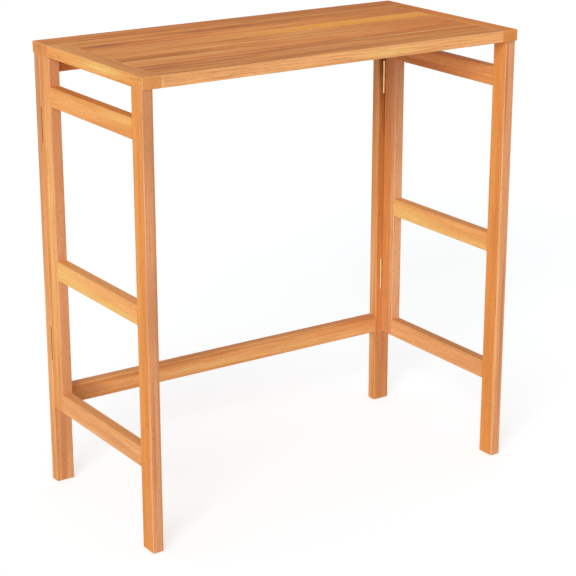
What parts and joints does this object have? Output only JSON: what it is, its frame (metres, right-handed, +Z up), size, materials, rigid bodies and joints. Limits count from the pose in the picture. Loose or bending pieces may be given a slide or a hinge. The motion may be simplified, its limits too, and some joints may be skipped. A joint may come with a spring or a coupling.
{
  "type": "folding pub table",
  "caption": "Tall narrow wooden bar table with a slatted flap top resting on two ladder-like gate legs, which are hinged to a back frame and fold flat against it.",
  "frame": {"origin": "on the floor, under the middle of the top", "axes": "+X along the table to its right, +Y from the front to the back frame, +Z up"},
  "size_m": [0.9, 0.45, 0.965],
  "materials": {
    "frame_wood": "oiled, satin",
    "top_wood": "oiled, satin",
    "hinge_brass": "satin, plated",
    "screw_steel": "zinc plated"
  },
  "bodies": {
    "back_frame": {"left_back_leg": "frame_wood", "right_back_leg": "frame_wood", "back_top_rail": "frame_wood", "back_low_rail": "frame_wood", "rear_strip": "top_wood", "strip_screws": "screw_steel", "frame_hinge_screws": "hinge_brass", "strip_hinge_screws": "hinge_brass", "left_lower_hinge_frame_plate": "hinge_brass", "left_upper_hinge_frame_plate": "hinge_brass", "right_lower_hinge_frame_plate": "hinge_brass", "right_upper_hinge_frame_plate": "hinge_brass", "left_lower_hinge_pin": "hinge_brass", "left_upper_hinge_pin": "hinge_brass", "right_lower_hinge_pin": "hinge_brass", "right_upper_hinge_pin": "hinge_brass", "left_flap_hinge_strip_plate": "hinge_brass", "right_flap_hinge_strip_plate": "hinge_brass", "left_flap_hinge_pin": "hinge_brass", "right_flap_hinge_pin": "hinge_brass"},
    "left_gate": {"left_gate_leg": "frame_wood", "left_gate_stile": "frame_wood", "left_gate_top_rail": "frame_wood", "left_gate_mid_rail": "frame_wood", "left_gate_low_rail": "frame_wood", "left_lower_hinge_gate_plate": "hinge_brass", "left_upper_hinge_gate_plate": "hinge_brass", "left_gate_hinge_screws": "hinge_brass"},
    "right_gate": {"right_gate_leg": "frame_wood", "right_gate_stile": "frame_wood", "right_gate_top_rail": "frame_wood", "right_gate_mid_rail": "frame_wood", "right_gate_low_rail": "frame_wood", "right_lower_hinge_gate_plate": "hinge_brass", "right_upper_hinge_gate_plate": "hinge_brass", "right_gate_hinge_screws": "hinge_brass"},
    "flap": {"left_end_board": "top_wood", "right_end_board": "top_wood", "flap_front_rail": "top_wood", "flap_rear_rail": "top_wood", "slat_1": "top_wood", "slat_2": "top_wood", "slat_3": "top_wood", "slat_4": "top_wood", "slat_5": "top_wood", "slat_6": "top_wood", "left_batten": "top_wood", "right_batten": "top_wood", "batten_screws": "screw_steel", "left_flap_hinge_flap_plate": "hinge_brass", "right_flap_hinge_flap_plate": "hinge_brass", "flap_hinge_screws": "hinge_brass"}
  },
  "joints": [
    {"name": "left_gate_hinge", "type": "hinge", "parent": "back_frame", "child": "left_gate", "pos_m": [-0.4217, 0.1986, 0.558], "axis": [0, 0, 1], "range_deg": [0, 90]},
    {"name": "right_gate_hinge", "type": "hinge", "parent": "back_frame", "child": "right_gate", "pos_m": [0.4217, 0.1986, 0.558], "axis": [0, 0, 1], "range_deg": [-90, 0]},
    {"name": "flap_hinge", "type": "hinge", "parent": "back_frame", "child": "flap", "pos_m": [0, 0.15925, 0.9391], "axis": [1, 0, 0], "range_deg": [-2.5, 0]}
  ]
}
